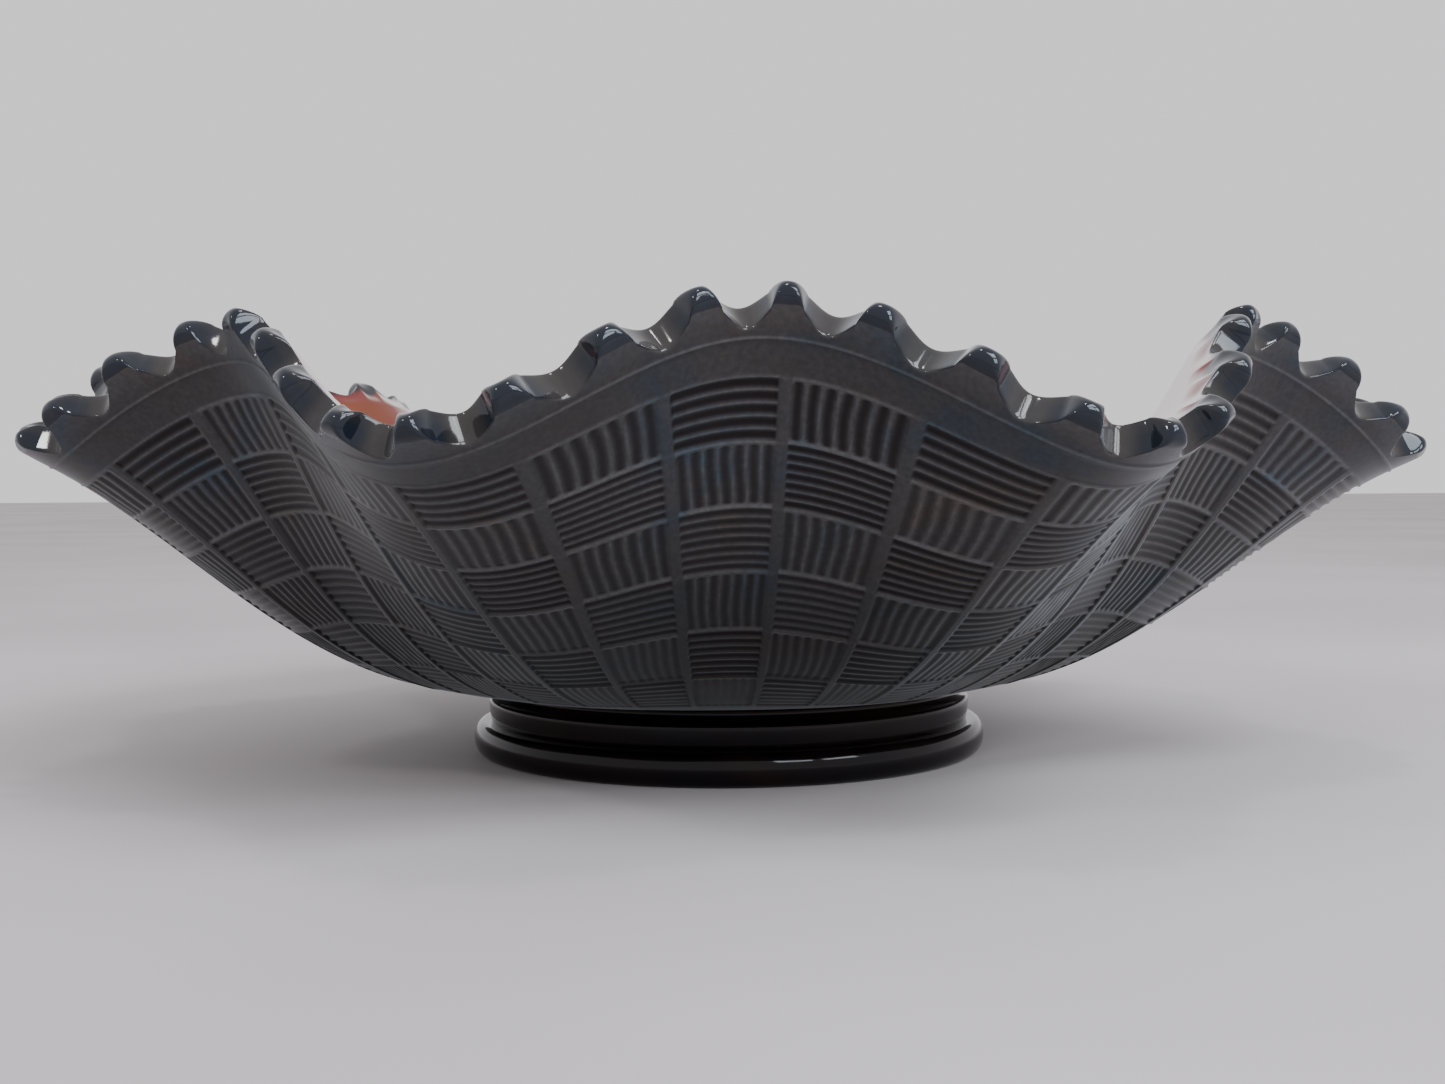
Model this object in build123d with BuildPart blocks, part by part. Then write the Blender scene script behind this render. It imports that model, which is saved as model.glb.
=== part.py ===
from build123d import *
import os
from math import cos, radians, sin, sqrt

# A ruffled glass bowl on a round collar foot: a flat floor, a wall that flares and is
# crimped into eight waves, a plain band above the weave, and a rim of rounded points.
# Millimetres and degrees. +Z is up, the foot stands on Z = 0 and the origin is the centre
# of the uneven outline. The wall and the foot each have an axis a little off it, as on a
# hand-shaped bowl. Angles around the bowl run from the front, which is -Y, towards +X.

# Upright axes of the wall and of the foot
WALL_X, WALL_Y = -1.2, -1.4
FOOT_X, FOOT_Y = 0.3, -1.4

# Counts
RUFFLES = 8
RIM_POINTS = 64
WEAVE_COLUMNS = 40
WEAVE_ROWS = 6

# Foot: an upper collar over a rounded lower bead, hollow underneath
BEAD_RADIUS = 41.0
BEAD_HEIGHT = 5.0
BEAD_REST_RADIUS = 39.2
BEAD_WIDEST_AT = 0.45
COLLAR_RADIUS = 38.6
COLLAR_WAIST_INSET = 0.4
COLLAR_TOP_INSET = 0.7
FOOT_INNER_RADIUS = 34.0
FOOT_TAPER = 1.2

# Floor and wall
GLASS = 4.5
FLOOR_HEIGHT = 11.2
FLOOR_RADIUS = 39.5
FLOOR_GAP = 0.01
FLOOR_RECESS = 0.8
FLOOR_RECESS_RADIUS = 30.0
SLOPE_LENGTH = 76.7
WALL_LENGTH = 72.0
STEEPEST_SLOPE = 47.9
STEEPEST_AT = 0.688

# Crimp: how far the slope swings at the rim, and how uneven the hand-made waves are
CRIMP_SWING = 15.8
CRIMP_LEAD = 7.7
CRIMP_TWIST = 4.6
UNEVEN_LEAD = 22.5
UNEVEN_LEAD_AT = -40.0
SWING_BIAS = 0.15
SWING_BIAS_AT = 51.0
FRONT_LIFT = 2.35

# Relief on the outside: upright stakes between columns, and bands between rows
WEAVE_TOP = 66.6
ROW_PITCH = 7.9
ROW_GROWTH = 0.25
STAKE_ANGLE = -3.55
STAKE_WIDTH = 0.8
RELIEF = 0.45

# Rim points
POINT_ANGLE = 5.27
POINT_HALF_ANGLE = 1.3
POINT_SECTIONS = (-1, -0.6, 0, 0.6, 1)
POINT_HEIGHT = 3.2
POINT_FULLNESS = 1.02
POINT_DOME = 1.8

# Clearance that keeps a stake's or a point's curved root from cutting into the wall
ROOT_GAP = 0.05

# How finely the curved pieces are described
SLOPE_STEP = 1.0
PROFILE_POINTS = 9
SECTION_ANGLE = 5.625

wall_plane = Plane(origin=(WALL_X, WALL_Y, 0), x_dir=(1, 0, 0), z_dir=(0, -1, 0))
foot_plane = Plane(origin=(FOOT_X, FOOT_Y, 0), x_dir=(1, 0, 0), z_dir=(0, -1, 0))
wall_axis = Axis(wall_plane.origin, (0, 0, 1))
foot_axis = Axis(foot_plane.origin, (0, 0, 1))


def row_border(row):
    """Distance up the wall of the border above a row, counted down from the top."""
    return WEAVE_TOP - ROW_PITCH * row - ROW_GROWTH * row**2


def wall_slope(s, angle):
    """Slope of the wall in degrees, s mm up the wall from the floor."""
    u = s / SLOPE_LENGTH
    mean = STEEPEST_SLOPE * (1 - ((u - STEEPEST_AT) / STEEPEST_AT) ** 2)
    uneven = UNEVEN_LEAD * cos(radians(angle - UNEVEN_LEAD_AT))
    wave = RUFFLES * (angle - CRIMP_LEAD + CRIMP_TWIST * (1 - u)) + uneven
    swing = CRIMP_SWING * u * (1 + SWING_BIAS * cos(radians(angle - SWING_BIAS_AT)))
    return mean + swing * cos(radians(wave)) + FRONT_LIFT * u**2 * cos(radians(angle))


def wall_point(s, angle, depth=0.0):
    """Radius and height of the wall s mm up it, depth mm in from its outside."""
    steps = max(1, round(s / SLOPE_STEP))
    ds = s / steps
    slopes = [radians(wall_slope((i + 0.5) * ds, angle)) for i in range(steps)]
    r = FLOOR_RADIUS + ds * sum(cos(a) for a in slopes)
    z = FLOOR_HEIGHT + ds * sum(sin(a) for a in slopes)
    end = radians(wall_slope(s, angle))
    return r - depth * sin(end), z + depth * cos(end)


def radial_plane(angle):
    """Upright plane through the wall's axis: X is outwards, Y is up."""
    a = radians(angle)
    return Plane(wall_plane.origin, x_dir=(sin(a), -cos(a), 0), z_dir=(-cos(a), -sin(a), 0))


def profile(angle, start, end, depth=0.0):
    """Points of the wall's curve from start to end, in a radial plane."""
    last = PROFILE_POINTS - 1
    return [
        wall_point(start + (end - start) * i / last, angle, depth)
        for i in range(PROFILE_POINTS)
    ]


def wall_sector(start_angle):
    """One wave of the wall, lofted a little too far each way and cut back."""
    width = 360 / RUFFLES
    sections = round(width / SECTION_ANGLE) + 3
    with BuildPart() as sector:
        for i in range(sections):
            angle = start_angle + (i - 1) * SECTION_ANGLE
            outside = profile(angle, 0, WALL_LENGTH)
            inside = profile(angle, 0, WALL_LENGTH, GLASS)
            with BuildSketch(radial_plane(angle)):
                with BuildLine():
                    Spline(*outside)
                    Line(outside[-1], inside[-1])
                    Spline(*inside)
                    Line(inside[0], outside[0])
                make_face()
        loft()
        split(bisect_by=radial_plane(start_angle), keep=Keep.BOTTOM)
        split(bisect_by=radial_plane(start_angle + width), keep=Keep.TOP)
    return sector.part


def rim_point(middle):
    """One rounded point, lofted through radial planes so that it stands on the wall."""
    with BuildPart() as point:
        for side in POINT_SECTIONS:
            angle = middle + side * POINT_HALF_ANGLE
            top = WALL_LENGTH + POINT_HEIGHT * sqrt(POINT_FULLNESS - side**2)
            root = [wall_point(WALL_LENGTH + ROOT_GAP, angle, depth) for depth in (0, GLASS)]
            shoulder = [wall_point(top, angle, depth) for depth in (0, GLASS)]
            crown = wall_point(top + POINT_DOME, angle, GLASS / 2)
            with BuildSketch(radial_plane(angle)):
                with BuildLine():
                    Line(root[0], shoulder[0])
                    ThreePointArc(shoulder[0], crown, shoulder[1])
                    Line(shoulder[1], root[1])
                    Line(root[1], root[0])
                make_face()
        loft()
    return point.part


def stake(middle):
    """One raised strip, lofted through three radial planes so that it hugs the wall."""
    with BuildPart() as strip:
        for side in (-0.5, 0, 0.5):
            angle = middle + side * STAKE_WIDTH
            inner = profile(angle, row_border(WEAVE_ROWS), WEAVE_TOP, -ROOT_GAP)
            outer = profile(angle, row_border(WEAVE_ROWS), WEAVE_TOP, -RELIEF)
            with BuildSketch(radial_plane(angle)):
                with BuildLine():
                    Spline(*inner)
                    Line(inner[-1], outer[-1])
                    Spline(*outer)
                    Line(outer[0], inner[0])
                make_face()
        loft()
    return strip.part


os.makedirs("parts", exist_ok=True)

# The ruffled wall, from the floor's edge to the root of the rim points.
with BuildPart() as bowl_wall:
    for ruffle in range(RUFFLES):
        add(wall_sector(ruffle * 360 / RUFFLES))
bowl_wall.part.label = "bowl_wall"
export_step(bowl_wall.part, "parts/bowl_wall.step")

# The flat floor inside the wall's first circle, with a shallow dished recess beneath.
with BuildPart() as bowl_floor:
    with BuildSketch(wall_plane):
        with BuildLine():
            Polyline(
                (0, FLOOR_HEIGHT + GLASS),
                (0, FLOOR_HEIGHT + FLOOR_RECESS),
                (FLOOR_RECESS_RADIUS, FLOOR_HEIGHT),
                (FLOOR_RADIUS - FLOOR_GAP, FLOOR_HEIGHT),
                (FLOOR_RADIUS - FLOOR_GAP, FLOOR_HEIGHT + GLASS),
                close=True,
            )
        make_face()
    revolve(axis=wall_axis)
bowl_floor.part.label = "bowl_floor"
export_step(bowl_floor.part, "parts/bowl_floor.step")

# The foot's lower bead: a rounded ring that the bowl rests on.
with BuildPart() as foot_bead:
    with BuildSketch(foot_plane):
        with BuildLine():
            Line((FOOT_INNER_RADIUS, BEAD_HEIGHT), (FOOT_INNER_RADIUS + FOOT_TAPER, 0))
            Line((FOOT_INNER_RADIUS + FOOT_TAPER, 0), (BEAD_REST_RADIUS, 0))
            ThreePointArc(
                (BEAD_REST_RADIUS, 0),
                (BEAD_RADIUS, BEAD_HEIGHT * BEAD_WIDEST_AT),
                (BEAD_REST_RADIUS, BEAD_HEIGHT),
            )
            Line((BEAD_REST_RADIUS, BEAD_HEIGHT), (FOOT_INNER_RADIUS, BEAD_HEIGHT))
        make_face()
    revolve(axis=foot_axis)
foot_bead.part.label = "foot_bead"
export_step(foot_bead.part, "parts/foot_bead.step")

# The foot's upper collar: a plain band between the bead and the underside of the floor.
collar_waist = (COLLAR_RADIUS - COLLAR_WAIST_INSET, BEAD_HEIGHT)
collar_top = (COLLAR_RADIUS - COLLAR_TOP_INSET, FLOOR_HEIGHT)
with BuildPart() as foot_collar:
    with BuildSketch(foot_plane):
        with BuildLine():
            Line((FOOT_INNER_RADIUS, FLOOR_HEIGHT), (FOOT_INNER_RADIUS, BEAD_HEIGHT))
            Line((FOOT_INNER_RADIUS, BEAD_HEIGHT), collar_waist)
            ThreePointArc(
                collar_waist, (COLLAR_RADIUS, (BEAD_HEIGHT + FLOOR_HEIGHT) / 2), collar_top
            )
            Line(collar_top, (FOOT_INNER_RADIUS, FLOOR_HEIGHT))
        make_face()
    revolve(axis=foot_axis)
foot_collar.part.label = "foot_collar"
export_step(foot_collar.part, "parts/foot_collar.step")

# The rim's points, standing on the wall's end all the way round.
with BuildPart() as rim_points:
    for number in range(RIM_POINTS):
        add(rim_point(POINT_ANGLE + number * 360 / RIM_POINTS))
rim_points.part.label = "rim_points"
export_step(rim_points.part, "parts/rim_points.step")

# The weave's upright stakes: thin strips that follow the wall's outside.
with BuildPart() as weave_stakes:
    for column in range(WEAVE_COLUMNS):
        middle = STAKE_ANGLE + column * 360 / WEAVE_COLUMNS
        add(stake(middle))
weave_stakes.part.label = "weave_stakes"
export_step(weave_stakes.part, "parts/weave_stakes.step")
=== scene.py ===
"""Ruffled carnival-glass bowl: basket-weave outside, iridescent inside, knobbed rim, ring foot.

Everything is in metres in the CAD frame: +Z up, the front is -Y, +X is to the right. Angles
around the bowl are in degrees from the front towards +X. s is the distance up the wall's
outside, from the edge of the floor.
"""
from math import pi, radians

import bpy
import numpy as np
from mathutils import Matrix, Vector


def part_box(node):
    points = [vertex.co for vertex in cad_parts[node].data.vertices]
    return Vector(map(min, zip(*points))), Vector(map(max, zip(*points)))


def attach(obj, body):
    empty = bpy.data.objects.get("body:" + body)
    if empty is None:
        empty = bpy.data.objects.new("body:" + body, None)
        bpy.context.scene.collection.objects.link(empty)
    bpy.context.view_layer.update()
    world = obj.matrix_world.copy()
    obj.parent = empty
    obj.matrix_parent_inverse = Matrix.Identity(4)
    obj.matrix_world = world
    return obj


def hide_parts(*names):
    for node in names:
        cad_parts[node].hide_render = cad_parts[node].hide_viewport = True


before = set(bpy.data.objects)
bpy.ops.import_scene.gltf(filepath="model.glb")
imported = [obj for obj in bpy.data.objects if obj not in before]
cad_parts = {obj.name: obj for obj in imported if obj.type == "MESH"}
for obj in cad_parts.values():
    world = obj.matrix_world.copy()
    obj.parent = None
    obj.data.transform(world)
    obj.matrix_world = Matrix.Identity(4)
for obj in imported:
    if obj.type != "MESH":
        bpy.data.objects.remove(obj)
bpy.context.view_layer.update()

# ---------------------------------------------------------------- sizes from the CAD frame
floor_low, floor_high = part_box("bowl_floor")
bead_low, bead_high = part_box("foot_bead")
collar_low, collar_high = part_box("foot_collar")

WALL_AXIS = (floor_low + floor_high) / 2
FOOT_AXIS = (bead_low + bead_high) / 2
FLOOR_RADIUS = (floor_high.x - floor_low.x) / 2
FLOOR_HEIGHT = floor_low.z
GLASS = floor_high.z - floor_low.z
BEAD_RADIUS = (bead_high.x - bead_low.x) / 2
BEAD_HEIGHT = bead_high.z
COLLAR_RADIUS = (collar_high.x - collar_low.x) / 2
COLLAR_TOP = collar_high.z

# ---------------------------------------------------------------- the wall, as in the CAD model
MM = 0.001
RUFFLES = 8
RIM_POINTS = 64
WEAVE_COLUMNS = 40
WEAVE_ROWS = 6
SLOPE_LENGTH = 76.7 * MM
STEEPEST_SLOPE = 47.9
STEEPEST_AT = 0.688
CRIMP_SWING = 15.8
CRIMP_LEAD = 7.7
CRIMP_TWIST = 4.6
UNEVEN_LEAD = 22.5
UNEVEN_LEAD_AT = -40.0
SWING_BIAS = 0.15
SWING_BIAS_AT = 51.0
FRONT_LIFT = 2.35
WEAVE_TOP = 66.6 * MM
ROW_PITCH = 7.9 * MM
ROW_GROWTH = 0.25 * MM
STAKE_ANGLE = -3.55
STAKE_WIDTH = 0.8
POINT_ANGLE = 5.27

# ---------------------------------------------------------------- relief of the weave
ROW_RIBS = np.array([5, 7, 7, 7, 7, 7])
RIBS_ACROSS = 7
FLUTE_DEPTH = 0.24 * MM
UPRIGHT_SHARE = 0.84
WAVER = 0.10
WAVER_LENGTH = 1.7 * MM
WAVER_SHIFT = 2.4
WALL_SPREAD = 0.8
STAKE_HEIGHT = 0.12 * MM
BORDER_HEIGHT = 0.14 * MM
BORDER_HALF_WIDTH = 0.32 * MM
SCALLOP = 0.28 * MM
EDGE_FADE = 0.16 * MM
BORDER_ON_STAKE = 0.25
FAINT_BELOW = 26 * MM

# ---------------------------------------------------------------- brightness, from 0 (dark) to 1: wear and stains, and painted light and shade
# crests and raised lines are painted lighter, partly wear and partly a painted highlight; grooves
# darker, partly the dark glass and partly painted shade
GROOVE_GLASS_AND_SHADE = 0.04
RIB_WEAR_AND_HIGHLIGHT = 0.84
WEAR_AND_HIGHLIGHT_POWER = 1.3
LINE_WEAR_AND_HIGHLIGHT = 0.5
STAKE_STAIN = 0.45
BAND_STAIN = 0.42
# the points' outer faces are painted lighter towards the tip: a painted reflection
FACE_REFLECTION = 0.35
KNOB_INSIDE_STAIN = 0.6

# ---------------------------------------------------------------- rim
RIM_START = 70.2 * MM
RIM_LINE = 71.3 * MM
RIM_LINE_HALF_WIDTH = 0.3 * MM
RIM_LINE_HEIGHT = 0.16 * MM
FACE_START = 71.62 * MM
RIM_THINNER = 0.7 * MM
NOTCH_BOTTOM = 72.45 * MM
POINT_HEIGHT = 5.25 * MM
HEAD_SHARE = 0.21
HEAD_FULLNESS = 2.6
HEAD_DROP = 0.45
FLARE_SHARE = 0.74
FLARE_BLEND = 8
CAP_LENGTH = 2.25 * MM
CAP_INSIDE_LONGER = 1.4 * MM
EDGE_ROUND = 0.35 * MM
EDGE_SQUARENESS = 5.0
KNOB_TILT = 0.7 * MM
SADDLE_TILT = -0.8 * MM
KNOB_FROM = 0.08
KNOB_FULL = 0.4
SADDLE_GLOSS = 0.85
LIP_GLOSS = 1.0
LIP_FADE = 1.6 * MM

# ---------------------------------------------------------------- foot profile
BEAD_REST_INSET = 1.9 * MM
BEAD_FULLNESS = 0.75
FOOT_HOLE_RADIUS = 34.0 * MM
FOOT_HOLE_TAPER = 1.2 * MM
COLLAR_EDGE = 8.8 * MM
COLLAR_TUCK = 0.4 * MM
COLLAR_SWELL = 0.1 * MM
COLLAR_ROUND = 0.6 * MM
COVE_DEPTH = 1.0 * MM
FLOOR_RECESS = 0.8 * MM
FLOOR_RECESS_RADIUS = 30.0 * MM

# ---------------------------------------------------------------- mesh density
SECTORS = 8
PANEL_STEPS = 40
FLUTE_STEPS = 6
BAND_STEPS = 10
INSIDE_EVERY = 4
POINT_STEPS = 44
FACE_STEPS = 8
CROWN_STEPS = 12
ROUND_STEPS = 256
BEAD_STEPS = 24
TABLE_STEP = 0.25 * MM

# ---------------------------------------------------------------- layout of the UV maps
SKIN_TOP_V = 0.94
END_STRIPS_V = {0: 0.95, -1: 0.975}
STRIP_HEIGHT_V = 0.02

chance = np.random.default_rng(64)
PANEL_GAIN = chance.uniform(0.8, 1.1, (WEAVE_COLUMNS, WEAVE_ROWS))
POINT_GAIN = chance.uniform(0.94, 1.06, RIM_POINTS)


# ================================================================ shape of the wall
def row_border(row):
    """Distance up the wall of the border above a row, counted down from the top."""
    return WEAVE_TOP - ROW_PITCH * row - ROW_GROWTH * row**2


BORDERS = row_border(np.arange(WEAVE_ROWS + 1))


def wall_slope(s, angle):
    """Slope of the wall in degrees. Takes arrays that broadcast together."""
    u = s / SLOPE_LENGTH
    mean = STEEPEST_SLOPE * (1 - ((u - STEEPEST_AT) / STEEPEST_AT) ** 2)
    uneven = UNEVEN_LEAD * np.cos(np.radians(angle - UNEVEN_LEAD_AT))
    wave = RUFFLES * (angle - CRIMP_LEAD + CRIMP_TWIST * (1 - u)) + uneven
    swing = CRIMP_SWING * u * (1 + SWING_BIAS * np.cos(np.radians(angle - SWING_BIAS_AT)))
    lift = FRONT_LIFT * u**2 * np.cos(np.radians(angle))
    return mean + swing * np.cos(np.radians(wave)) + lift


def skin(angle, s):
    """Points on the smooth outside of the wall, for grids of angle and s of one shape.

    The slope is added up in short steps from the floor's edge, one table row per column of
    the grid, so every point of a grid's column has the same angle."""
    steps = int(np.ceil(s.max() / TABLE_STEP)) + 1
    middle = (np.arange(steps) + 0.5) * TABLE_STEP
    slope = np.radians(wall_slope(middle, angle[0].reshape(-1, 1)))
    start = np.zeros((len(slope), 1))
    r_table = FLOOR_RADIUS + np.hstack([start, np.cumsum(np.cos(slope), axis=1)]) * TABLE_STEP
    z_table = FLOOR_HEIGHT + np.hstack([start, np.cumsum(np.sin(slope), axis=1)]) * TABLE_STEP
    place = s / TABLE_STEP
    low = np.clip(place.astype(int), 0, steps - 1)
    part = place - low
    column = np.broadcast_to(np.arange(s.shape[1]), s.shape)
    r = r_table[column, low] * (1 - part) + r_table[column, low + 1] * part
    z = z_table[column, low] * (1 - part) + z_table[column, low + 1] * part
    turn = np.radians(angle)
    return np.stack([WALL_AXIS.x + r * np.sin(turn), WALL_AXIS.y - r * np.cos(turn), z], -1)


def outward(angle, s):
    """Unit normals of the smooth wall, pointing to its outside."""
    step_s, step_a = 0.3 * MM, 0.05
    along = skin(angle, s + step_s) - skin(angle, np.maximum(s - step_s, 0))
    around = skin(angle + step_a, s) - skin(angle - step_a, s)
    normal = np.cross(around, along)
    return normal / np.linalg.norm(normal, axis=-1, keepdims=True)


def soft_step(x, low, high):
    """0 below low and 1 above high, with a soft change between."""
    t = np.clip((x - low) / (high - low), 0, 1)
    return t * t * (3 - 2 * t)


def ridge(distance, half_width):
    """1 on a line, falling softly to 0 half_width away from it."""
    return soft_step(1 - np.abs(distance) / half_width, 0, 1)


def weave(angle, s):
    """Height of the pattern over the smooth wall, and how bright it is painted, for grids:
    lighter on crests and lines (wear and painted highlight), darker in grooves (dark glass and
    painted shade).
    """
    column = (angle - STAKE_ANGLE) * WEAVE_COLUMNS / 360
    number = np.floor(column).astype(int)
    stake = STAKE_WIDTH / 2 * WEAVE_COLUMNS / 360
    across = np.clip((column - number - stake) / (1 - 2 * stake), 0, 1)
    radius = FLOOR_RADIUS + WALL_SPREAD * s
    panel_width = radians(360 / WEAVE_COLUMNS) * radius * (1 - 2 * stake)
    beside = np.minimum(across, 1 - across) * panel_width

    row = np.clip(np.searchsorted(-BORDERS, -s, side="right") - 1, 0, WEAVE_ROWS - 1)
    down = np.clip((BORDERS[row] - s) / (BORDERS[row] - BORDERS[row + 1]), 0, 1)
    to_border = np.min(np.abs(s[..., None] - BORDERS), axis=-1)
    inside = soft_step(WEAVE_TOP - s, 0, EDGE_FADE) * soft_step(s - BORDERS[-1], 0, EDGE_FADE)

    level = (number + row) % 2 == 0
    waver = WAVER * np.sin(s / WAVER_LENGTH + WAVER_SHIFT * number) * 4 * across * (1 - across)
    flute = np.where(level, down * ROW_RIBS[row], across * RIBS_ACROSS + waver) % 1
    crest = (2 * flute - 1) ** 2
    open_end = np.where(
        level,
        soft_step(beside, 0, EDGE_FADE),
        soft_step(to_border, BORDER_HALF_WIDTH + SCALLOP * crest, 2 * SCALLOP + SCALLOP * crest),
    )
    gain = PANEL_GAIN[number % WEAVE_COLUMNS, row] * soft_step(s, 0, FAINT_BELOW)
    gain = gain * np.where(level, 1, UPRIGHT_SHARE)
    sunk = (1 - crest) * open_end * inside * gain
    raised = soft_step(beside, EDGE_FADE, 0) * soft_step(WEAVE_TOP - s, -EDGE_FADE, 0)
    raised *= soft_step(s - BORDERS[-1], -EDGE_FADE, 0)
    border = ridge(to_border, BORDER_HALF_WIDTH)
    border *= np.where(raised > 0.5, BORDER_ON_STAKE, 1) * soft_step(s, 0, FAINT_BELOW)
    height = BORDER_HEIGHT * border - FLUTE_DEPTH * sunk
    height = np.maximum(height, STAKE_HEIGHT * raised - FLUTE_DEPTH * sunk)
    # lighter on the crests, partly wear and partly a painted highlight; darker in the grooves,
    # partly the dark glass and partly painted shade
    bright = GROOVE_GLASS_AND_SHADE + RIB_WEAR_AND_HIGHLIGHT * np.clip(1 - sunk, 0, 1) ** WEAR_AND_HIGHLIGHT_POWER
    bright = bright * (1 - STAKE_STAIN * raised) + LINE_WEAR_AND_HIGHLIGHT * border
    plain = (s > WEAVE_TOP) | (s < BORDERS[-1])
    bright = np.where(plain, BAND_STAIN + LINE_WEAR_AND_HIGHLIGHT * border, bright)
    return height, np.clip(bright, 0, 1)


# ================================================================ meshes
def spread(rows):
    """Share of the way along a run of rows of points, by their average distance apart."""
    steps = np.linalg.norm(np.diff(rows, axis=0), axis=-1).mean(axis=1)
    return np.concatenate([[0], np.cumsum(steps)]) / steps.sum()


def make_mesh(name, vertices, faces, corner_uv, sharp, marks):
    """A mesh object with smooth faces, its own UV map, and a value per vertex for each mark."""
    mesh = bpy.data.meshes.new(name)
    mesh.from_pydata(vertices, [], faces)
    mesh.polygons.foreach_set("use_smooth", np.ones(len(mesh.polygons), bool))
    ends = np.empty(2 * len(mesh.edges), int)
    mesh.edges.foreach_get("vertices", ends)
    mesh.edges.foreach_set("use_edge_sharp", sharp(*ends.reshape(-1, 2).T))
    layer = mesh.uv_layers.new(name="OFBake")
    layer.data.foreach_set("uv", np.asarray(corner_uv, np.float32).reshape(-1))
    for mark, values in marks.items():
        attribute = mesh.attributes.new(mark, "FLOAT", "POINT")
        attribute.data.foreach_set("value", np.asarray(values, np.float32).reshape(-1))
    piece = bpy.data.objects.new(name, mesh)
    bpy.context.scene.collection.objects.link(piece)
    return piece


def closed_band(name, outside, inside, marks):
    """A closed piece of the wall between two angles.

    outside and inside are grids of points, rows from the bottom up and columns by rising
    angle. Their last rows meet in one row of faces, and so do their first rows and the two
    ends. Each inside row faces the same number of outside rows."""
    rings = np.concatenate([outside, inside[::-1]])
    rows, columns = rings.shape[:2]
    index = np.arange(rows * columns).reshape(rows, columns)
    above = np.roll(index, -1, axis=0)
    quads = np.stack([index[:, :-1], index[:, 1:], above[:, 1:], above[:, :-1]], -1)
    faces = quads.reshape(-1, 4).tolist()

    v = spread(np.concatenate([rings, rings[:1]])) * SKIN_TOP_V
    u = spread(outside.transpose(1, 0, 2))
    left, right = np.meshgrid(u[:-1], v[:-1])[0], np.meshgrid(u[1:], v[:-1])[0]
    low, high = np.meshgrid(u[:-1], v[:-1])[1], np.meshgrid(u[:-1], v[1:])[1]
    corners = np.stack([left, low, right, low, right, high, left, high], -1)
    corner_uv = corners.reshape(-1, 2).tolist()

    outer, inner = index[: len(outside)], index[len(outside) :][::-1]
    tallest, last = len(outside) - 1, len(inside) - 1
    per_step = tallest // last
    for end, end_v in END_STRIPS_V.items():
        for step in range(last + 1):
            chain = range(step * per_step, min((step + 1) * per_step, tallest) + 1)
            back = [step + 1, step] if step < last else [step]
            if len(chain) + len(back) < 3:
                continue
            face = [int(outer[i, end]) for i in chain] + [int(inner[i, end]) for i in back]
            place = [(i / tallest, end_v) for i in chain]
            place += [(i * per_step / tallest, end_v + STRIP_HEIGHT_V) for i in back]
            faces.append(face[::-1] if end else face)
            corner_uv += place[::-1] if end else place

    top, seam = len(outside) - 1, len(outside)
    flat_top = np.linalg.norm(outside[-1] - inside[-1], axis=-1).mean() > GLASS / 2

    def sharp(a, b):
        row_a, row_b = a // columns, b // columns
        column_a, column_b = a % columns, b % columns
        found = (column_a == column_b) & np.isin(column_a, (0, columns - 1))
        edges = (0, rows - 1) + ((top, seam) if flat_top else ())
        return found | ((row_a == row_b) & np.isin(row_a, edges))

    return make_mesh(name, rings.reshape(-1, 3), faces, corner_uv, sharp, marks)


def turned(name, profile, axis, marks, creases=()):
    """A closed ring or disc turned round an upright axis.

    profile is a list of (radius, height), going round the section with the glass on its
    left. Where it starts and ends on the axis, those ends become poles. Creases are the
    numbers of the profile's points with a hard edge."""
    profile = np.array(profile, float)
    solid = profile[0, 0] == 0
    rim = profile[1:-1] if solid else profile
    turn = np.arange(ROUND_STEPS) * 2 * pi / ROUND_STEPS
    rings = np.stack(
        [
            axis.x + rim[:, :1] * np.sin(turn),
            axis.y - rim[:, :1] * np.cos(turn),
            np.broadcast_to(rim[:, 1:], (len(rim), ROUND_STEPS)),
        ],
        -1,
    )
    rows = len(rim)
    index = np.arange(rows * ROUND_STEPS).reshape(rows, ROUND_STEPS)
    around = np.roll(index, -1, axis=1)
    vertices = rings.reshape(-1, 3).tolist()
    count = rows - 1 if solid else rows
    lengths = np.linalg.norm(np.diff(np.concatenate([profile, profile[:1]]), axis=0), axis=1)
    v = np.concatenate([[0], np.cumsum(lengths)]) / lengths.sum()
    first = 1 if solid else 0
    u = np.arange(ROUND_STEPS + 1) / ROUND_STEPS
    faces, corner_uv = [], []
    for row in range(count):
        up = (row + 1) % rows
        low_v, high_v = v[row + first], v[row + first + 1]
        for i in range(ROUND_STEPS):
            faces.append((index[row, i], around[row, i], around[up, i], index[up, i]))
            corner_uv += [(u[i], low_v), (u[i + 1], low_v), (u[i + 1], high_v), (u[i], high_v)]
    if solid:
        poles = len(vertices)
        vertices += [(axis.x, axis.y, profile[0, 1]), (axis.x, axis.y, profile[-1, 1])]
        for i in range(ROUND_STEPS):
            faces.append((poles, around[0, i], index[0, i]))
            corner_uv += [(u[i], v[0]), (u[i + 1], v[1]), (u[i], v[1])]
            faces.append((index[-1, i], around[-1, i], poles + 1))
            corner_uv += [(u[i], v[rows]), (u[i + 1], v[rows]), (u[i], v[rows + 1])]
        marks = {
            mark: np.concatenate([np.repeat(values[1:-1], ROUND_STEPS), values[:1], values[-1:]])
            for mark, values in marks.items()
        }
    else:
        marks = {mark: np.repeat(values, ROUND_STEPS) for mark, values in marks.items()}
    hard = [crease - first for crease in creases]

    def sharp(a, b):
        return (a // ROUND_STEPS == b // ROUND_STEPS) & np.isin(a // ROUND_STEPS, hard)

    return make_mesh(name, vertices, faces, corner_uv, sharp, marks)


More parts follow.
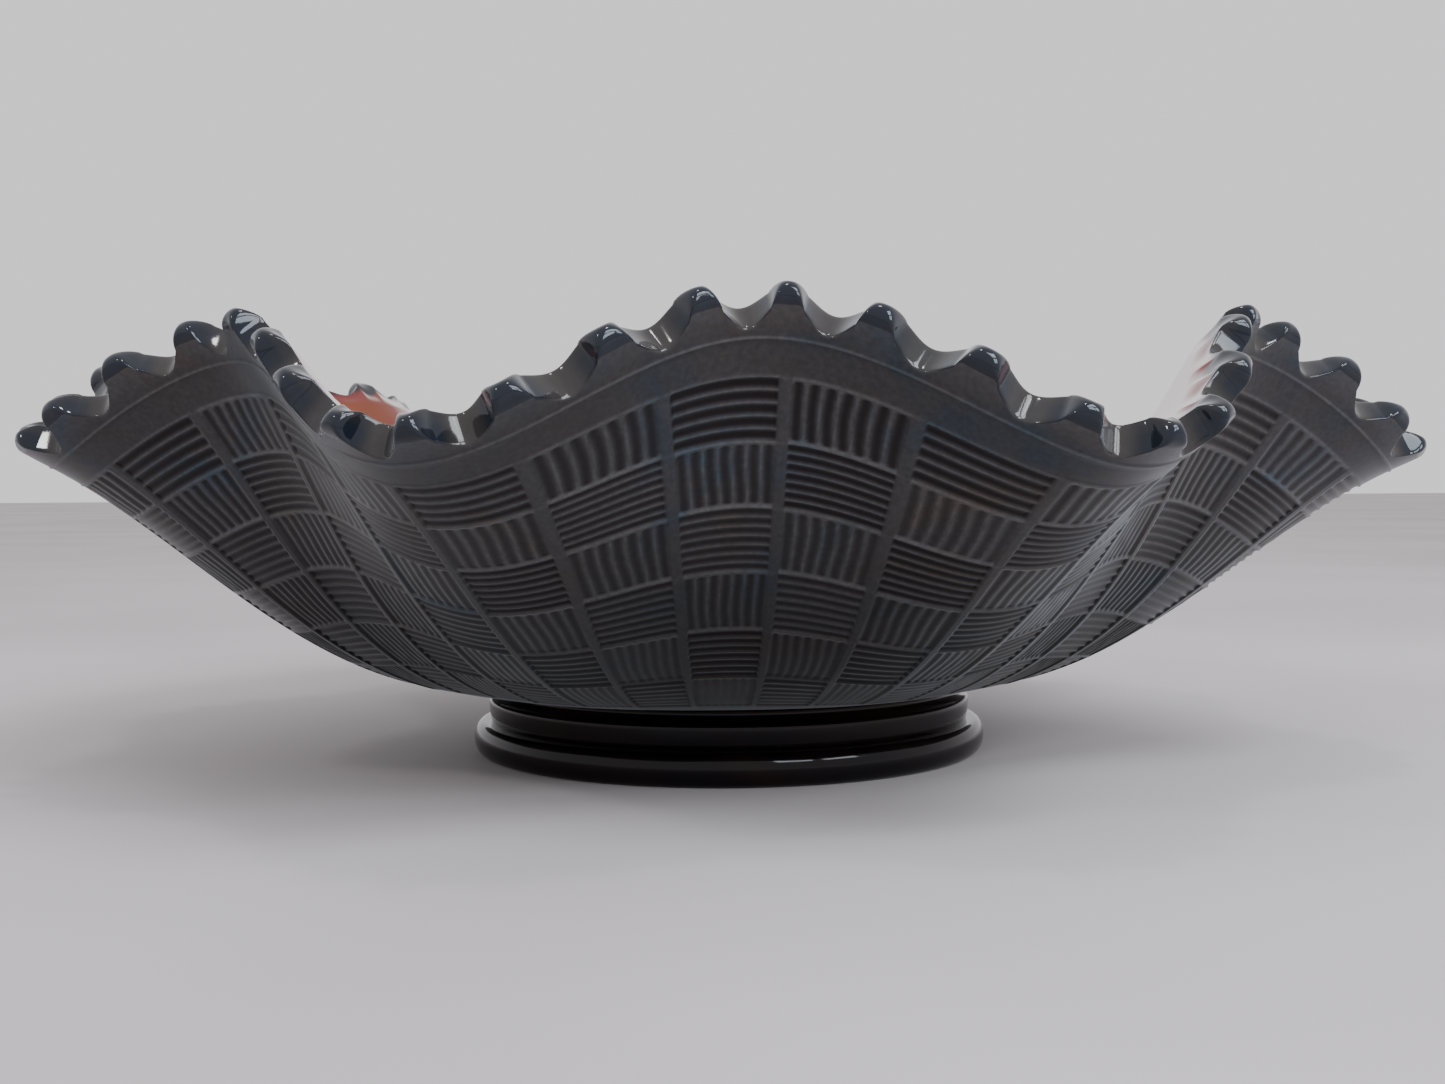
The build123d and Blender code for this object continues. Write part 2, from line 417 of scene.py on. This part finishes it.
def arc(start, end, steps, bulge=0):
    """Points of a shallow arc from start to end, bulging to the right of the way it goes."""
    start, end = np.array(start, float), np.array(end, float)
    way = end - start
    side = np.array([way[1], -way[0]]) / np.linalg.norm(way)
    t = np.linspace(0, 1, steps + 1)
    return [tuple(start + way * k + side * bulge * 4 * k * (1 - k)) for k in t]


# ================================================================ pieces
def wall_columns(sector):
    """Angles of a sector's columns of points: five columns of the weave, stake to stake."""
    pitch = 360 / WEAVE_COLUMNS
    half_stake = STAKE_WIDTH / 2
    panel = half_stake + np.arange(PANEL_STEPS + 1) / PANEL_STEPS * (pitch - STAKE_WIDTH)
    one = np.concatenate([[0, half_stake / 2], panel, [pitch - half_stake / 2]])
    per_sector = WEAVE_COLUMNS // SECTORS
    start = STAKE_ANGLE + sector * 360 / SECTORS
    angles = [start + column * pitch + one for column in range(per_sector)]
    return np.concatenate(angles + [[start + per_sector * pitch]])


def wall_rows():
    """Distances up the wall of its rows of points, aligned with the ribs of each row."""
    rows = [np.linspace(0, BORDERS[-1], BAND_STEPS + 1)]
    for row in reversed(range(WEAVE_ROWS)):
        steps = ROW_RIBS[row] * FLUTE_STEPS
        rows.append(np.linspace(BORDERS[row + 1], BORDERS[row], steps + 1)[1:])
    rows.append(np.linspace(WEAVE_TOP, RIM_START, BAND_STEPS + 1)[1:])
    rows = np.concatenate(rows)
    extra = -(len(rows) - 1) % INSIDE_EVERY
    return np.concatenate([rows[:1], np.linspace(rows[0], rows[1], extra + 2)[1:-1], rows[1:]])


def wall_piece(sector):
    """One wave of the wall, with the basket weave outside and plain inside."""
    angle, s = np.meshgrid(wall_columns(sector), wall_rows())
    height, bright = weave(angle, s)
    outside = skin(angle, s) + outward(angle, s) * height[..., None]
    angle_in, s_in = angle[::INSIDE_EVERY], s[::INSIDE_EVERY]
    inside = skin(angle_in, s_in) - outward(angle_in, s_in) * GLASS
    up = np.concatenate([s, s_in[::-1]]) / SLOPE_LENGTH
    marks = {
        "bright": np.concatenate([bright, np.ones_like(s_in)]),
        "inside": np.concatenate([np.zeros_like(s), np.ones_like(s_in)]),
        "gloss": np.zeros_like(up),
        "up": up,
    }
    return closed_band(f"wall_ruffle_{sector + 1}", outside, inside, marks)


def rim_outline(angle):
    """Distance up the wall of the rim's outline, and how far it is above a cap's start."""
    place = (angle - POINT_ANGLE) * RIM_POINTS / 360
    number = np.round(place).astype(int)
    off = np.abs(place - number)
    head = (1 - np.minimum(off / HEAD_SHARE, 1) ** HEAD_FULLNESS) ** HEAD_DROP
    flare = FLARE_SHARE * np.cos(pi * off) ** 2
    into = (head**FLARE_BLEND + flare**FLARE_BLEND) ** (1 / FLARE_BLEND)
    height = POINT_HEIGHT * POINT_GAIN[number % RIM_POINTS]
    return NOTCH_BOTTOM + height * into, np.maximum(CAP_LENGTH - height * (1 - into), 0)


def rim_piece(sector):
    """One wave of the rim: eight rounded points, from notch to notch.

    Each point ends in a dome, its cap, whose inner side is lower. Between the caps the edge
    is nearly square, and its inner side is higher, so the notches are shallower inside."""
    per_sector = RIM_POINTS // SECTORS
    pitch = 360 / RIM_POINTS
    start = POINT_ANGLE - pitch / 2 + sector * 360 / SECTORS
    angles = start + np.arange(per_sector * POINT_STEPS + 1) * pitch / POINT_STEPS
    top, above = rim_outline(angles)
    cap = above / CAP_LENGTH
    reach = np.hypot(above, EDGE_ROUND)
    reach_in = reach + CAP_INSIDE_LONGER * cap
    power = 2 / (2 + (EDGE_SQUARENESS - 2) * (1 - cap))
    tilt = SADDLE_TILT + (KNOB_TILT - SADDLE_TILT) * (top - NOTCH_BOTTOM) / POINT_HEIGHT

    line_rows = [RIM_START] + [RIM_LINE + k * RIM_LINE_HALF_WIDTH / 2 for k in (-2, -1, 0, 1)]
    s_out = [np.full_like(angles, value) for value in line_rows]
    s_out += list(np.linspace(np.full_like(angles, FACE_START), top - reach, FACE_STEPS + 1))
    s_in = list(np.linspace(np.full_like(angles, RIM_START), top - tilt - reach_in, len(s_out)))
    share = [np.zeros_like(angles)] * len(s_out)
    for phi in np.linspace(0, pi / 2, CROWN_STEPS + 1)[1:]:
        drop = 1 - np.sin(phi) ** power
        over = (1 - max(np.cos(phi), 0) ** power) / 2
        s_out.append(top - reach * drop - tilt * over)
        s_in.append(top - reach_in * drop - tilt * (1 - over))
        share.append(2 * over)
    s_out, s_in, share = np.array(s_out), np.array(s_in), np.array(share)
    angle = np.broadcast_to(angles, s_out.shape)
    climb = soft_step(np.arange(len(s_out)) / (len(s_out) - 1 - CROWN_STEPS), 0, 1)[:, None]
    half = (GLASS - RIM_THINNER * climb) / 2
    line = ridge(s_out - RIM_LINE, RIM_LINE_HALF_WIDTH)
    raised = (RIM_LINE_HEIGHT * line - half * share)[..., None]
    outside = skin(angle, s_out) + outward(angle, s_out) * raised
    inside = skin(angle, s_in) - outward(angle, s_in) * (half * (2 - share))[..., None]

    crown = share > 0
    knob = soft_step((top - NOTCH_BOTTOM) / POINT_HEIGHT, KNOB_FROM, KNOB_FULL)
    edge = np.where(crown, SADDLE_GLOSS + (1 - SADDLE_GLOSS) * knob, 0)
    lip = soft_step(top - tilt - reach_in - s_in, LIP_FADE, 0) * knob
    lip = np.where(crown, edge, LIP_GLOSS * lip)
    # outer face painted lighter towards the tip as a painted reflection; raised line lighter,
    # partly wear and partly a painted highlight
    face = np.clip((s_out - FACE_START) / POINT_HEIGHT, 0, 1)
    worn = np.where(crown, 1 - knob, BAND_STAIN + LINE_WEAR_AND_HIGHLIGHT * line + FACE_REFLECTION * face)
    worn_in = np.broadcast_to(1 - KNOB_INSIDE_STAIN * knob, s_in[:-1].shape)
    marks = {
        "bright": np.concatenate([worn, worn_in]),
        "inside": np.concatenate([np.zeros_like(s_out), np.where(crown, 0, 1)[:-1][::-1]]),
        "gloss": np.concatenate([edge, lip[:-1][::-1]]),
        "up": np.concatenate([s_out, s_in[:-1][::-1]]) / SLOPE_LENGTH,
    }
    return closed_band(f"rim_ruffle_{sector + 1}", outside, inside[:-1], marks)


def floor_piece():
    """The flat floor, with a shallow dished recess beneath."""
    top = FLOOR_HEIGHT + GLASS
    below = arc((0, FLOOR_HEIGHT + FLOOR_RECESS), (FLOOR_RECESS_RADIUS, FLOOR_HEIGHT), steps=12)
    edge = [(FLOOR_RADIUS, FLOOR_HEIGHT), (FLOOR_RADIUS, top)]
    above = arc((FLOOR_RADIUS, top), (0, top), steps=24)[1:]
    profile = below + edge + above
    r = np.array([point[0] for point in profile])
    is_top = np.arange(len(profile)) > len(below)
    marks = {
        "bright": np.where(is_top, 1, BAND_STAIN),
        "inside": is_top.astype(float),
        "gloss": np.zeros(len(profile)),
        "up": (r / FLOOR_RADIUS - 1) / 2,
    }
    return turned("floor_disc", profile, WALL_AXIS, marks, (len(below), len(below) + 1))


def bead_piece():
    """The rounded lower ring of the foot, flat where it stands."""
    root = BEAD_RADIUS - BEAD_REST_INSET
    turn = np.linspace(-pi / 2, pi / 2, BEAD_STEPS + 1)
    outer_r = root + BEAD_REST_INSET * np.cos(turn) ** BEAD_FULLNESS
    outer_z = BEAD_HEIGHT / 2 * (1 + np.sin(turn))
    outer = list(zip(outer_r, outer_z))
    hole = FOOT_HOLE_RADIUS
    profile = [(hole + FOOT_HOLE_TAPER, 0)] + outer + [(hole, BEAD_HEIGHT)]
    return turned("bead_ring", profile, FOOT_AXIS, {}, (0, 1, len(profile) - 2, len(profile) - 1))


def collar_piece():
    """The upper band of the foot, with a rounded edge and a cove under the bowl."""
    waist = (COLLAR_RADIUS - COLLAR_TUCK, BEAD_HEIGHT)
    side = arc(waist, (COLLAR_RADIUS, COLLAR_EDGE - COLLAR_ROUND), steps=8, bulge=COLLAR_SWELL)
    edge_end = (COLLAR_RADIUS - COLLAR_ROUND, COLLAR_EDGE)
    edge = arc(side[-1], edge_end, steps=6, bulge=COLLAR_ROUND / 4)[1:]
    cove_end = (COLLAR_RADIUS - COLLAR_TUCK, COLLAR_TOP)
    cove = arc(edge[-1], cove_end, steps=12, bulge=-COVE_DEPTH)[1:]
    hole = [(FOOT_HOLE_RADIUS, COLLAR_TOP), (FOOT_HOLE_RADIUS, BEAD_HEIGHT)]
    profile = side + edge + cove + hole
    last = len(profile) - 1
    return turned("collar_ring", profile, FOOT_AXIS, {}, (0, last - 2, last - 1, last))


# ================================================================ materials
METAL_GREY = (0.097, 0.096, 0.100, 1)
METAL_BLUE = (0.063, 0.087, 0.108, 1)
METAL_BROWN = (0.111, 0.095, 0.083, 1)
EDGE_METAL = (0.030, 0.026, 0.024, 1)
GROOVE = (0.009, 0.005, 0.006, 1)
# pale cream painted on the inside where it is seen edge-on: a painted reflection
CREAM_REFLECTION = (0.86, 0.77, 0.75, 1)
BLACK_GLASS = (0.010, 0.013, 0.020, 1)
FOOT_BLACK = (0.003, 0.002, 0.003, 1)
FOOT_BROWN = (0.010, 0.004, 0.003, 1)
FLOOR_COLOR = (0.43, 0.395, 0.40, 1)
FLOOR_COLOR_TO = (0.49, 0.455, 0.46, 1)
RAINBOW = [
    (0.00, (0.055, 0.020, 0.110, 1)),
    (0.20, (0.015, 0.055, 0.150, 1)),
    (0.40, (0.015, 0.110, 0.130, 1)),
    (0.58, (0.045, 0.050, 0.200, 1)),
    (0.72, (0.200, 0.035, 0.140, 1)),
    (0.83, (0.250, 0.080, 0.045, 1)),
    (0.91, (0.240, 0.045, 0.050, 1)),
    (1.00, (0.170, 0.045, 0.060, 1)),
]
# painted shade: the outside is painted darker towards the foot, down to this share at the bottom
BASE_PAINTED_SHADE = 0.16
GLASS_IOR = 1.5
GLASS_SPECULAR = 0.4
FOOT_SPECULAR = 0.2
INSIDE_ROUGHNESS = 0.28
GLOSS_ROUGHNESS = 0.07
SHEEN_METALLIC = 0.8
GLOSS_METALLIC = 0.3
PATCH_SCALE = 55
SPECKLE_SCALE = 1400
DRIFT_SCALE = 28
FROST_SCALE = 2600
DRIFT = 0.22
# how far the painted reflection, pale cream on the inside, reaches as the surface turns edge-on
CREAM_REFLECTION_FROM = 0.56
CREAM_REFLECTION_FULL = 0.82
CREAM_REFLECTION_SHARE = 0.92
SATIN_ROUGHNESS = (0.30, 0.44)
SHEEN_WEIGHT = 0.2
SHEEN_ROUGHNESS = 0.4
SHEEN_TINT = (0.88, 0.94, 1.0, 1)
FROST_STRENGTH = 0.16
FROST_DEPTH = 0.05 * MM
FOOT_ROUGHNESS = (0.05, 0.2)
FLOOR_ROUGHNESS = 0.7


def connect(material, node, inputs):
    """Sets a node's inputs, given by name or number, to values or links them to sockets."""
    for name, value in inputs.items():
        if isinstance(value, bpy.types.NodeSocket):
            material.node_tree.links.new(value, node.inputs[name])
        else:
            node.inputs[name].default_value = value


def add(material, kind, inputs=None, **settings):
    """A node of a material, with its settings and inputs."""
    node = material.node_tree.nodes.new(kind)
    for name, value in settings.items():
        setattr(node, name, value)
    connect(material, node, inputs or {})
    return node


def new_material(name):
    """An empty material and its shader node."""
    material = bpy.data.materials.new(name)
    material.use_nodes = True
    material.node_tree.nodes.clear()
    shader = add(material, "ShaderNodeBsdfPrincipled")
    add(material, "ShaderNodeOutputMaterial", {"Surface": shader.outputs["BSDF"]})
    return material, shader


def mark(material, name):
    """The value of a vertex mark."""
    return add(material, "ShaderNodeAttribute", attribute_name=name).outputs["Fac"]


def noise(material, scale, detail=3.0, rough=0.55, distortion=0.0):
    """Noise over the object's own coordinates, features about 1 / scale metres wide."""
    place = add(material, "ShaderNodeTexCoord").outputs["Object"]
    values = {"Vector": place, "Scale": scale, "Detail": detail}
    values.update({"Roughness": rough, "Distortion": distortion})
    return add(material, "ShaderNodeTexNoise", values).outputs["Fac"]


def remap(material, value, low, high, to_low, to_high):
    """value from low..high to to_low..to_high, clamped."""
    values = {"Value": value, "From Min": low, "From Max": high}
    values.update({"To Min": to_low, "To Max": to_high})
    return add(material, "ShaderNodeMapRange", values).outputs["Result"]


def blend_colors(material, amount, first, second, mode="MIX"):
    """first and second are colours or colour sockets."""
    inputs = {0: amount, 6: first, 7: second}
    node = add(material, "ShaderNodeMix", inputs, data_type="RGBA", blend_type=mode)
    return node.outputs[2]


def blend_values(material, amount, first, second):
    """first and second are numbers or number sockets."""
    inputs = {0: amount, 2: first, 3: second}
    return add(material, "ShaderNodeMix", inputs, data_type="FLOAT").outputs[0]


def ramp(material, value, stops):
    """A colour ramp with stops of (place, colour)."""
    node = add(material, "ShaderNodeValToRGB", {"Fac": value})
    node.color_ramp.interpolation = "EASE"
    while len(node.color_ramp.elements) < len(stops):
        node.color_ramp.elements.new(0.5)
    for element, (place, color) in zip(node.color_ramp.elements, stops):
        element.position = place
        element.color = color
    return node.outputs["Color"]


def carnival_glass(name):
    """Satin gunmetal outside, painted darker towards the foot as painted shade; rainbow sheen
    inside, painted pale cream where seen edge-on as a painted reflection; glossy near-black where
    fire-polished.
    """
    material, shader = new_material(name)
    patches = noise(material, PATCH_SCALE, 3.0, 0.6, 0.6)
    speckle = noise(material, SPECKLE_SCALE, 2.0)
    bright, inside = mark(material, "bright"), mark(material, "inside")
    gloss, up = mark(material, "gloss"), mark(material, "up")

    metal = ramp(material, patches, [(0.3, METAL_BLUE), (0.5, METAL_GREY), (0.7, METAL_BROWN)])
    worn = remap(material, speckle, 0.3, 0.7, 0.82, 1.12)
    metal = blend_colors(material, 1.0, metal, worn, "MULTIPLY")
    satin = blend_colors(material, bright, GROOVE, metal)
    # painted shade: the satin colour is darkened towards the foot
    base_shade = remap(material, up, 0.05, 0.75, BASE_PAINTED_SHADE, 1.0)
    satin = blend_colors(material, 1.0, satin, base_shade, "MULTIPLY")

    drift = noise(material, DRIFT_SCALE, 2.0, 0.5, 1.2)
    drift = remap(material, drift, 0.25, 0.75, -DRIFT, DRIFT)
    place = add(material, "ShaderNodeMath", {0: up, 1: drift}, operation="ADD").outputs[0]
    bands = ramp(material, remap(material, place, -0.5, 1.1, 0, 1), RAINBOW)
    # painted reflection: the rainbow is blended towards pale cream where the inside is seen
    # edge-on
    facing = add(material, "ShaderNodeLayerWeight", {"Blend": 0.5}).outputs["Facing"]
    pale_reflection = remap(material, facing, CREAM_REFLECTION_FROM, CREAM_REFLECTION_FULL, 0.0, CREAM_REFLECTION_SHARE)
    rainbow = blend_colors(material, pale_reflection, bands, CREAM_REFLECTION)
    body = blend_colors(material, inside, satin, rainbow)
    polished = blend_colors(material, bright, BLACK_GLASS, EDGE_METAL)
    color = blend_colors(material, gloss, body, polished)

    satin_rough = remap(material, patches, 0.3, 0.7, *SATIN_ROUGHNESS)
    rough = blend_values(material, inside, satin_rough, INSIDE_ROUGHNESS)
    rough = blend_values(material, gloss, rough, GLOSS_ROUGHNESS)
    metallic = blend_values(material, gloss, SHEEN_METALLIC, GLOSS_METALLIC)
    frost = noise(material, FROST_SCALE, 2.0)
    strength = blend_values(material, gloss, FROST_STRENGTH, 0.0)
    grain = {"Height": frost, "Strength": strength, "Distance": FROST_DEPTH}
    surface = {
        "Base Color": color,
        "Roughness": rough,
        "Metallic": metallic,
        "IOR": GLASS_IOR,
        "Specular IOR Level": GLASS_SPECULAR,
        "Sheen Weight": SHEEN_WEIGHT,
        "Sheen Roughness": SHEEN_ROUGHNESS,
        "Sheen Tint": SHEEN_TINT,
        "Normal": add(material, "ShaderNodeBump", grain).outputs["Normal"],
    }
    connect(material, shader, surface)
    return material


def foot_glass(name):
    """Glossy near-black glass with a faint red-brown depth and fine wear."""
    material, shader = new_material(name)
    depth = noise(material, 40, 2.0, 0.5, 0.8)
    color = ramp(material, depth, [(0.35, FOOT_BLACK), (0.7, FOOT_BROWN)])
    wear = remap(material, noise(material, 500, 4.0), 0.45, 0.8, *FOOT_ROUGHNESS)
    surface = {"Base Color": color, "Roughness": wear, "IOR": GLASS_IOR}
    connect(material, shader, {**surface, "Specular IOR Level": FOOT_SPECULAR})
    return material


def floor_paint(name):
    """Plain pale matt floor."""
    material, shader = new_material(name)
    tone = noise(material, 6, 2.0)
    color = ramp(material, tone, [(0.3, FLOOR_COLOR), (0.7, FLOOR_COLOR_TO)])
    connect(material, shader, {"Base Color": color, "Roughness": FLOOR_ROUGHNESS})
    return material


# ================================================================ the object
def finish_piece(piece, material, slot, *nodes):
    """Gives a piece its material, puts it under the root body and hides the CAD parts it stands
    in for.
    """
    piece.data.materials.append(material)
    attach(piece, "root")
    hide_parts(*nodes)


wall_material = carnival_glass("wall_carnival_glass")
rim_material = carnival_glass("rim_carnival_glass")
inner_floor_material = carnival_glass("floor_carnival_glass")
foot_material = foot_glass("foot_black_glass")

for number in range(SECTORS):
    finish_piece(wall_piece(number), wall_material, "wall_glass", "bowl_wall", "weave_stakes")
    finish_piece(rim_piece(number), rim_material, "rim_glass", "rim_points")
finish_piece(floor_piece(), inner_floor_material, "floor_glass", "bowl_floor")
finish_piece(collar_piece(), foot_material, "foot_glass", "foot_collar")
finish_piece(bead_piece(), foot_material, "foot_glass", "foot_bead")


# ================================================================ stage, light and camera
FLOOR_REACH = 4.0
WORLD_COLOR = (0.80, 0.785, 0.81, 1)
WORLD_STRENGTH = 1.26
WINDOW_PANES = ((29, 50), (51, 50), (29, 30), (51, 30))
WINDOW_DISTANCE = 0.9
WINDOW_SIDE = 0.24
WINDOW_POWER = 2.4
WINDOW_COLOR = (0.86, 0.93, 1.0)
LAMP_DISTANCE = 1.0
LAMP_POWER = 1.2
CAMERA_PLACE = Vector((0.3, -276.4, 42.9)) * MM
CAMERA_LENS = 42.25
CAMERA_SENSOR = 36.0
CAMERA_LEFT = 0.003
CAMERA_DOWN = 0.036
CAMERA_ROLL = -0.007


def add_floor():
    """A plain pale floor."""
    square = ((-1, -1), (1, -1), (1, 1), (-1, 1))
    corners = [(x * FLOOR_REACH, y * FLOOR_REACH, 0) for x, y in square]
    mesh = bpy.data.meshes.new("floor")
    mesh.from_pydata(corners, [], [(0, 1, 2, 3)])
    floor = bpy.data.objects.new("floor", mesh)
    bpy.context.scene.collection.objects.link(floor)
    floor.data.materials.append(floor_paint("pale_floor"))


def add_softbox(name, azimuth, elevation, distance, side, power, color):
    """A square light that faces the bowl. Azimuth is from the front towards +X."""
    light = bpy.data.lights.new(name, "AREA")
    light.shape = "SQUARE"
    light.size = side
    light.energy = power
    light.color = color
    lamp = bpy.data.objects.new(name, light)
    turn, rise = radians(azimuth), radians(elevation)
    way = Vector((np.sin(turn) * np.cos(rise), -np.cos(turn) * np.cos(rise), np.sin(rise)))
    target = Vector((0, 0, FLOOR_HEIGHT * 3))
    lamp.location = target + way * distance
    lamp.rotation_euler = way.to_track_quat("Z", "Y").to_euler()
    bpy.context.scene.collection.objects.link(lamp)


def add_world():
    """Pale, even light from all round."""
    world = bpy.data.worlds.new("studio")
    world.use_nodes = True
    background = world.node_tree.nodes["Background"]
    background.inputs["Color"].default_value = WORLD_COLOR
    background.inputs["Strength"].default_value = WORLD_STRENGTH
    bpy.context.scene.world = world


def add_camera():
    """A camera low in front of the bowl, pitched a little down."""
    data = bpy.data.cameras.new("camera")
    data.lens = CAMERA_LENS
    data.sensor_width = CAMERA_SENSOR
    data.clip_start = 0.01
    camera = bpy.data.objects.new("camera", data)
    turned_left = Matrix.Rotation(CAMERA_LEFT, 4, "Z")
    pitched = Matrix.Rotation(pi / 2 - CAMERA_DOWN, 4, "X")
    rolled = Matrix.Rotation(CAMERA_ROLL, 4, "Z")
    camera.matrix_world = Matrix.Translation(CAMERA_PLACE) @ turned_left @ pitched @ rolled
    bpy.context.scene.collection.objects.link(camera)
    bpy.context.scene.camera = camera


add_floor()
add_world()
window = (WINDOW_DISTANCE, WINDOW_SIDE, WINDOW_POWER, WINDOW_COLOR)
for pane, (azimuth, elevation) in enumerate(WINDOW_PANES):
    add_softbox(f"window_{pane + 1}", azimuth, elevation, *window)
add_softbox("left_lamp", -50, 42, LAMP_DISTANCE, 0.08, LAMP_POWER, (1.0, 0.98, 0.95))
add_softbox("top_lamp", 10, 80, LAMP_DISTANCE, 0.09, LAMP_POWER, (1.0, 1.0, 1.0))
add_camera()
